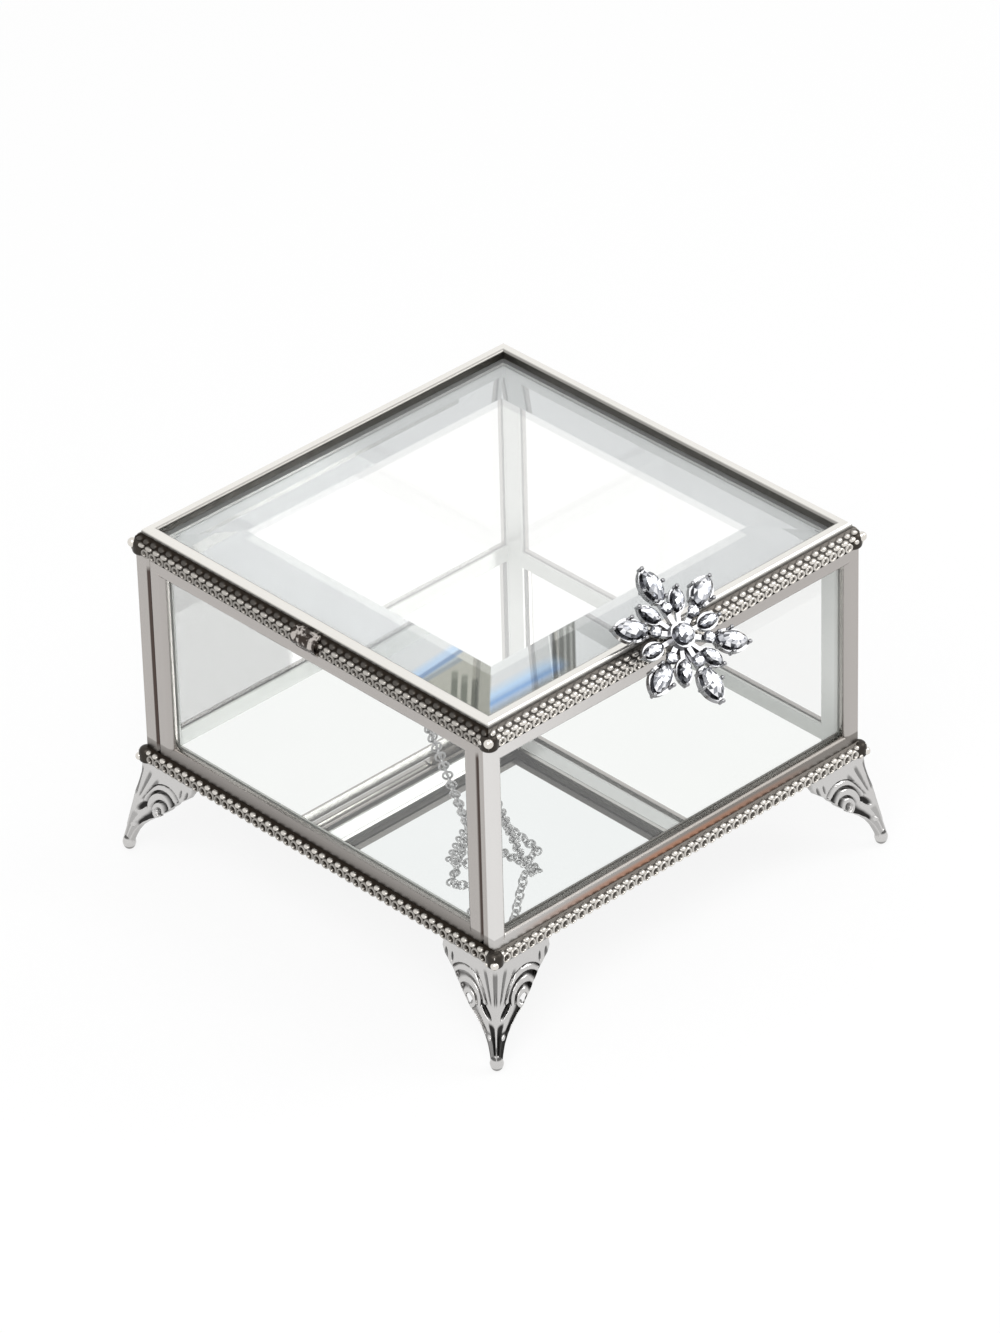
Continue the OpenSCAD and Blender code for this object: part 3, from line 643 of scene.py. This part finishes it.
# Relief of a wing, in mm, u from the ridge and w down from the top.
ARCS = [(8.6, 9.3, 4.35, 0.34, 0.85), (8.4, 9.9, 2.45, 0.30, 0.70),
        (8.7, 8.9, 5.75, 0.10, 0.30)]       # u, w, radius, width by the ridge, and away
ALMOND = (2.9, 10.9, 2.15, 0.85)            # u, w, half length, half width
EARS = [(15.2, 3.2, 0.5, 1.7), (13.3, 3.0, 0.35, 1.2)]      # u, w, half width, half height
EYE = (8.25, 10.2, 1.15, 1.3)               # u, w, half width, half height
PEARL = (2.1, 16.4, 0.62)                   # u, w, radius


def wing_relief(u, w, edge, deep, ankle):
    """Outward relief of a foot wing, u from the ridge and w down from the top, in mm.

    Three nested grooves are half circles of the distance from a ring; they widen away from
    the ridge. An almond is a half circle of an oval turned by 47 degrees. The fan is a
    cosine of the angle about the ankle, and a flute runs down the ankle beside a pearl. Two
    small ovals lie in the upper corner. deep is the darkness of the grooves and ankle that of
    the flutes and of the face beside them, patina with painted shade; both differ from foot
    to foot as painted light.
    """
    out = np.zeros_like(u)
    hollow = np.zeros_like(u)

    def sink(mask, depth, tone):
        nonlocal out, hollow
        out = out - depth * mask
        hollow = np.maximum(hollow, tone * step(0.0, 0.7, mask))

    for cu, cw, radius, thin, wide in ARCS:
        r = np.hypot(u - cu, w - cw)
        angle = np.degrees(np.arctan2(cw - w, u - cu))
        angle = np.where(angle < -90, angle + 360, angle)
        width = thin + (wide - thin) * step(150, 20, angle)
        span = step(-35, -15, angle) * step(205, 185, angle)
        sink(bump((r - radius) / width) * span, 0.7, deep * (0.70 + 0.30 * step(150, 60, angle)))
        out = out + 0.20 * bump((r - radius + 0.95) / 0.6) * span
    a, b = u - ALMOND[0], w - ALMOND[1]
    along, across = a * 0.68 - b * 0.73, a * 0.73 + b * 0.68
    sink(bump(np.hypot(along / ALMOND[2], across / ALMOND[3])), 0.8, 0.98)
    angle = np.arctan2(u - 0.4, 13.2 - w)
    reach = np.hypot(u - 0.4, 13.2 - w)
    fan = step(0.50, 0.95, 0.5 + 0.5 * np.cos(angle * 25 + 0.4))
    fan = fan * step(3.8, 5.4, reach) * step(12.6, 10.0, reach)
    sink(fan * step(0.66, 0.50, angle), 0.22, 0.62)
    ears = sum(bump(np.hypot((u - eu) / ru, (w - ew) / rw)) for eu, ew, ru, rw in EARS)
    sink(np.clip(ears, 0, 1), 0.3, 0.75)
    band = step(0.55, 0.85, u / edge) * step(9.4, 10.6, w) * step(16.6, 15.0, w)
    rim = step(0.0, 0.25, edge - u - 0.18)
    sink(band * rim * (np.hypot(u - EYE[0], w - EYE[1]) > 2.0), 0.35, deep)
    pearl = bump(np.hypot(u - PEARL[0], w - PEARL[1]) / PEARL[2])
    out = out + 0.45 * pearl
    low_part = step(12.6, 14.4, w)
    flute = bump((u - 0.24 * edge) / (0.17 * edge))
    sink(flute * low_part * (pearl < 0.05), 0.32, 0.30 + 0.67 * (ankle > 0))
    outer = step(0.50, 0.62, u / edge) * step(14.6, 16.2, w) * step(0.99, 0.95, u / edge)
    sink(outer * (pearl < 0.05), 0.1, deep if ankle else 0.25)
    sink(step(14.6, 16.0, w) * step(0.10, 0.22, u / edge), 0.0, ankle)
    hollow = np.where(pearl > 0.05, 0.0, hollow)
    return out, np.clip(hollow, 0, 1)


def wing_holes(u, w):
    """Where the casting is pierced: the round eye inside the arcs."""
    return np.hypot((u - EYE[0]) / EYE[2], (w - EYE[1]) / EYE[3]) < 1


def foot_wing(quarter, flip, deep, ankle):
    """One wing as a closed shell: a grid that follows the outline, with relief outside,
    a plain inner face, and the eye cut through both."""
    rows, cols = 150, 96
    w = np.linspace(0, WING_EDGE[-1][0], rows)
    knots = np.array(WING_EDGE)
    edge = np.interp(w, knots[:, 0], knots[:, 1])
    edge = edge + 0.16 * np.abs(np.sin(w * 1.2)) * step(3.5, 5, w) * step(16, 13, w)
    s = np.linspace(0, 1, cols)
    ww, ss = np.meshgrid(w, s, indexing="ij")
    uu = ss * edge[:, None]
    out, hollow = wing_relief(uu, ww, edge[:, None], deep, ankle)
    rim = np.minimum((1 - ss) * edge[:, None] / 0.45, 1)
    thick = 1.5 * (0.35 + 0.65 * bump(1 - rim))
    base = FOOT_FACE + ww * FOOT_LEAN
    front = base + out * step(0, 0.06, 1 - ss)
    back = base - thick
    x_front = front - uu
    slim = 1 - (front - back) / np.maximum(edge[:, None], 2) * 0.5
    x_back = np.minimum(back, back - uu * slim)
    zf = FOOT_TOP - ww
    outer = np.stack([x_front, -front, zf], -1)
    inner = np.stack([x_back, -back, zf], -1)
    shell = np.concatenate([outer, inner[:, ::-1]], 1)
    verts = shell.reshape(-1, 3)
    width = 2 * cols
    cut = wing_holes(uu, ww)
    cut = cut[:-1, :-1] & cut[1:, 1:]
    quads = grid_quads(rows, width, wrap_cols=True).reshape(rows - 1, width, 4)
    keep = np.ones((rows - 1, width), bool)
    keep[:, :cols - 1] &= ~cut
    keep[:, cols:-1] &= ~cut[:, ::-1]
    faces = [quads[keep]]
    ids = np.arange(rows * width).reshape(rows, width)
    front_id, back_id = ids[:, :cols], ids[:, cols:][:, ::-1]
    solid = np.pad(~cut, 1, constant_values=True)
    r, c = np.nonzero(cut)
    for dr, dc, (ar, ac), (br, bc) in ((-1, 0, (0, 1), (0, 0)), (1, 0, (1, 0), (1, 1)),
                                       (0, -1, (0, 0), (1, 0)), (0, 1, (1, 1), (0, 1))):
        wall = solid[r + 1 + dr, c + 1 + dc]
        rr, cc = r[wall], c[wall]
        a, b = (rr + ar, cc + ac), (rr + br, cc + bc)
        faces.append(np.stack([front_id[b], front_id[a], back_id[a], back_id[b]], -1))
    for ring, order in ((ids[0], 1), (ids[-1], -1)):
        a, b = ring[:cols], ring[cols:][::-1]
        faces.append(np.stack([a[:-1], a[1:], b[1:], b[:-1]], -1)[:, ::order])
    faces = np.concatenate(faces, 0)
    if flip:
        verts = np.stack([-verts[:, 1], -verts[:, 0], verts[:, 2]], -1)
        faces = faces[:, ::-1]
    hollow = np.concatenate([hollow, 0.25 + 0 * hollow[:, ::-1]], 1)
    return turned(verts, quarter), faces, hollow.ravel()


def toe(quarter):
    """Rounded toe: a half circle drawn out upwards, turned about its upright line."""
    tip = FOOT_FACE + WING_EDGE[-1][0] * FOOT_LEAN - 1.0
    a = np.linspace(-np.pi / 2, np.pi / 2, 24)
    radius = 1.55 * np.cos(a) * (1 - 0.25 * np.clip(np.sin(a), 0, 1))
    height = 2.1 + 2.1 * np.sin(a)
    radius[[0, -1]] = 0.01
    verts, faces = revolved(np.stack([radius, height], -1), 40, (tip, -tip, FOOT_BOTTOM))
    mark = 0.55 * (np.abs(height - 1.0) < 0.35) + 0.85 * (np.abs(height - 3.5) < 0.3)
    return turned(verts, quarter), faces, np.repeat(mark, 40)


# By foot: darkness of the grooves of its first wing, and of the ankle (0 leaves it light),
# painted light and shade that differ from foot to foot.
WING_TONE = {0: (0.98, 0.0), 1: (0.98, 0.0), 2: (0.98, 0.0), 3: (0.52, 0.55)}
FEET = {0: "foot_front_right", 1: "foot_back_right", 2: "foot_back_left", 3: "foot_front_left"}
for quarter, node in FEET.items():
    deep, ankle = WING_TONE[quarter]
    verts, faces, hollow = joined([foot_wing(quarter, False, deep, ankle),
                                   foot_wing(quarter, True, 0.98, 0.93 if ankle else 0.0),
                                   toe(quarter)])
    foot = make_mesh(node.replace("foot", "cast_foot"), verts, faces, "box", CAST_METAL,
                     hollow=hollow)
    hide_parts(node)


# ---------------------------------------------------------------- brooch
FLAKE = np.array([-2.8, -59.0, 59.1])       # middle of the snowflake, in mm
FLAKE_TILT = math.radians(43)


def on_flake(points, turn, reach, lift):
    """Points set out along one arm, turned about the snowflake's middle and laid on its
    slope."""
    p = np.asarray(points, float) + np.array([reach, 0.0, lift])
    c, s = math.cos(turn), math.sin(turn)
    p = np.stack([c * p[..., 0] - s * p[..., 1], s * p[..., 0] + c * p[..., 1], p[..., 2]], -1)
    c, s = math.cos(FLAKE_TILT), math.sin(FLAKE_TILT)
    x, y, z = np.moveaxis(p, -1, 0)
    return np.stack([x, c * y - s * z, s * y + c * z], -1) + FLAKE


def cut_stone(length, width, height, sides, point):
    """A cut stone as rings of a superellipse: keel, girdle, crown break and table.

    Each ring is the girdle shrunk and raised; every second ring is turned by half a side, so
    that the facets between rings are kites and triangles.
    """
    rings = [(0.30, -0.25, 0.5), (1.0, 0.30, 0.0), (0.80, 0.72, 0.5), (0.46, 1.0, 0.0),
             (0.02, 1.0, 0.5)]          # size, height, turn in sides
    verts = []
    for scale, z, shift in rings:
        a = (np.arange(sides) + shift) * 2 * np.pi / sides
        r = (np.abs(np.cos(a)) ** point + np.abs(np.sin(a)) ** point) ** (-1 / point)
        verts.append(np.stack([scale * r * np.cos(a) * length / 2,
                               scale * r * np.sin(a) * width / 2,
                               np.full(sides, z * height)], -1))
    verts = np.concatenate(verts)
    faces = []
    k = np.arange(sides)
    n = (k + 1) % sides
    for i, (_, _, shift) in enumerate(rings[:-1]):
        a, b = i * sides, (i + 1) * sides
        if shift:
            faces += [np.stack([a + k, b + n, b + k], -1), np.stack([a + k, a + n, b + n], -1)]
        else:
            faces += [np.stack([a + k, a + n, b + k], -1), np.stack([a + n, b + n, b + k], -1)]
    faces.append(np.stack([np.zeros(sides - 2, int), k[2:], k[1:-1]], -1))
    last = (len(rings) - 1) * sides
    faces.append(np.stack([np.full(sides - 2, last), last + k[1:-1], last + k[2:]], -1))
    return verts, np.concatenate(faces)


def facet_painted_light(verts, faces):
    """Painted light of each facet: a painted highlight towards the left and top, painted shade
    away from them and on the stone's side, and stepped from facet to facet by a fixed scatter of
    its place, as painted sparkle."""
    p = verts[faces]
    normal = np.cross(p[:, 1] - p[:, 0], p[:, 2] - p[:, 0])
    normal /= np.linalg.norm(normal, axis=1, keepdims=True) + 1e-12
    # Painted highlight on facets that face up, left and to the front.
    lean = normal @ np.array([-0.55, -0.15, 0.35])
    side = step(0.80, 0.45, normal @ np.array([0.0, -0.68, 0.73]))
    sparkle = np.modf(np.abs(np.sin(p.sum(1) @ np.array([12.9898, 78.233, 37.719])) * 43.7585))[0]
    return np.clip(0.47 + 0.50 * lean + 0.85 * (sparkle - 0.47) - 0.16 * side, 0, 1)


def stone_piece(name, stones, node):
    """Joins stones into one flat-faced mesh; each facet has its own points and painted light."""
    corners = np.concatenate([v[f] for v, f in stones])
    tones = np.concatenate([facet_painted_light(v, f) for v, f in stones])
    verts = corners.reshape(-1, 3)
    faces = np.arange(len(verts)).reshape(-1, 3)
    piece = make_mesh(name, verts, faces, "lid", CRYSTAL, smooth=False, facet=np.repeat(tones, 3))
    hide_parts(node)


# Length, width and height of each cut, its number of sides, and how pointed it is.
PETAL = (7.6, 4.2, 2.3, 14, 1.75)
LEAF = (5.4, 3.0, 1.7, 12, 1.75)
DOT = (3.0, 3.0, 1.5, 10, 2.0)
HEART = (4.8, 4.8, 2.1, 12, 2.0)


def set_stone(cut, degrees, reach, lift):
    """One stone of a cut, on the arm at some degrees and lifted off the frame."""
    verts, faces = cut_stone(*cut)
    return on_flake(verts, math.radians(degrees), reach, lift), faces


petals, rounds = [], []
for arm in range(0, 360, 60):
    petals += [set_stone(PETAL, arm + 30, 12.2, 1.75), set_stone(LEAF, arm, 8.2, 1.35)]
    rounds.append(set_stone(DOT, arm + 30, 6.6, 1.75))
rounds.append(set_stone(HEART, 0, 0.0, 2.55))
stone_piece("brooch_petal_crystals", petals, "brooch_petal_stones")
stone_piece("brooch_round_crystals", rounds, "brooch_round_stones")


# ---------------------------------------------------------------- carried-over nodes
# The first start of a name that fits gives the finish of a CAD node.
FINISHES = [("pane_left", LEFT_PANE_GLASS), ("pane_back", SHADED_PANE_GLASS),
            ("pane_right", SHADED_PANE_GLASS), ("pane_", PANE_GLASS),
            ("lid_glass", LID_GLASS), ("mirror_floor", MIRROR), ("lid_rail", LIP_METAL),
            ("chain", CHAIN_METAL), ("stay_chain", CHAIN_METAL), ("brooch", BROOCH_METAL),
            ("lid_trim_sleeve", SLEEVE_METAL), ("hinge", HINGE_METAL), ("", FRAME_METAL)]

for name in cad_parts:
    finish = next(material for start, material in FINISHES if name.startswith(start))
    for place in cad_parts[name].material_slots:
        place.material = finish


# ---------------------------------------------------------------- studio
def backdrop_seen(m):
    """1 for rays that see the white backdrop: the eye's, and those in gloss and glass."""
    camera_ray, bent, glossy = m.rays("Camera", "Transmission", "Glossy")
    return camera_ray.max(bent).max(glossy)


def studio_world():
    """Even light from all round; white where the eye, gloss or glass sees past the box."""
    w = Finish("studio", world=True)
    tone = w.mix(backdrop_seen(w), rgb(0.80, 0.80, 0.80), rgb(1, 1, 1))
    world = w.surface(w.node("Background", {}, {"Color": tone, "Strength": 1.0}))
    bpy.context.scene.world = world


def studio_floor():
    """White table: it glows for the rays that see the backdrop and keeps a faint shadow."""
    size = 3.0
    mesh = bpy.data.meshes.new("floor")
    z = FOOT_BOTTOM * MM
    mesh.from_pydata([(-size, -size, z), (size, -size, z), (size, size, z), (-size, size, z)],
                     [], [(0, 1, 2, 3)])
    m = Finish("floor")
    matt = m.node("BsdfDiffuse", {}, {"Color": rgb(0.82, 0.82, 0.82)})
    glow = m.node("Emission", {}, {"Color": rgb(1, 1, 1), "Strength": 1.0})
    mesh.materials.append(m.surface(m.node("MixShader", {}, {
        0: backdrop_seen(m) * 0.84, 1: matt, 2: glow})))
    floor = bpy.data.objects.new("floor", mesh)
    bpy.context.scene.collection.objects.link(floor)


def softbox(name, place, aim, size, power):
    """A square lamp of some size in m and power in W, aimed at a point."""
    light = bpy.data.lights.new(name, "AREA")
    light.shape = "SQUARE"
    light.size = size
    light.energy = power
    lamp = bpy.data.objects.new(name, light)
    bpy.context.scene.collection.objects.link(lamp)
    lamp.location = place
    lamp.rotation_euler = (Vector(aim) - Vector(place)).to_track_quat("-Z", "Y").to_euler()


def camera():
    """The photograph's view: a long lens, 34 degrees above the table, off the near corner."""
    stand = Vector((-0.9397, -1.0092, 0.9368))
    aim = Vector((-0.00706, -0.00757, 0.030))
    focal_px, long_side_px, sensor = 7472.0, 1333.0, 36.0
    roll = math.radians(-1.555)
    data = bpy.data.cameras.new("camera")
    data.sensor_width = sensor
    data.lens = focal_px * sensor / long_side_px
    data.clip_start, data.clip_end = 0.05, 20
    eye = bpy.data.objects.new("camera", data)
    bpy.context.scene.collection.objects.link(eye)
    turn = (aim - stand).to_track_quat("-Z", "Y").to_matrix().to_4x4()
    eye.matrix_world = Matrix.Translation(stand) @ turn @ Matrix.Rotation(roll, 4, "Z")
    bpy.context.scene.camera = eye


studio_world()
studio_floor()
MIDDLE = (0, 0, 0.03)
softbox("key", (-0.7, -0.5, 1.1), MIDDLE, 0.8, 9)
softbox("fill", (0.9, -0.6, 0.9), MIDDLE, 0.7, 5)
camera()
bpy.context.scene.view_settings.view_transform = "Standard"
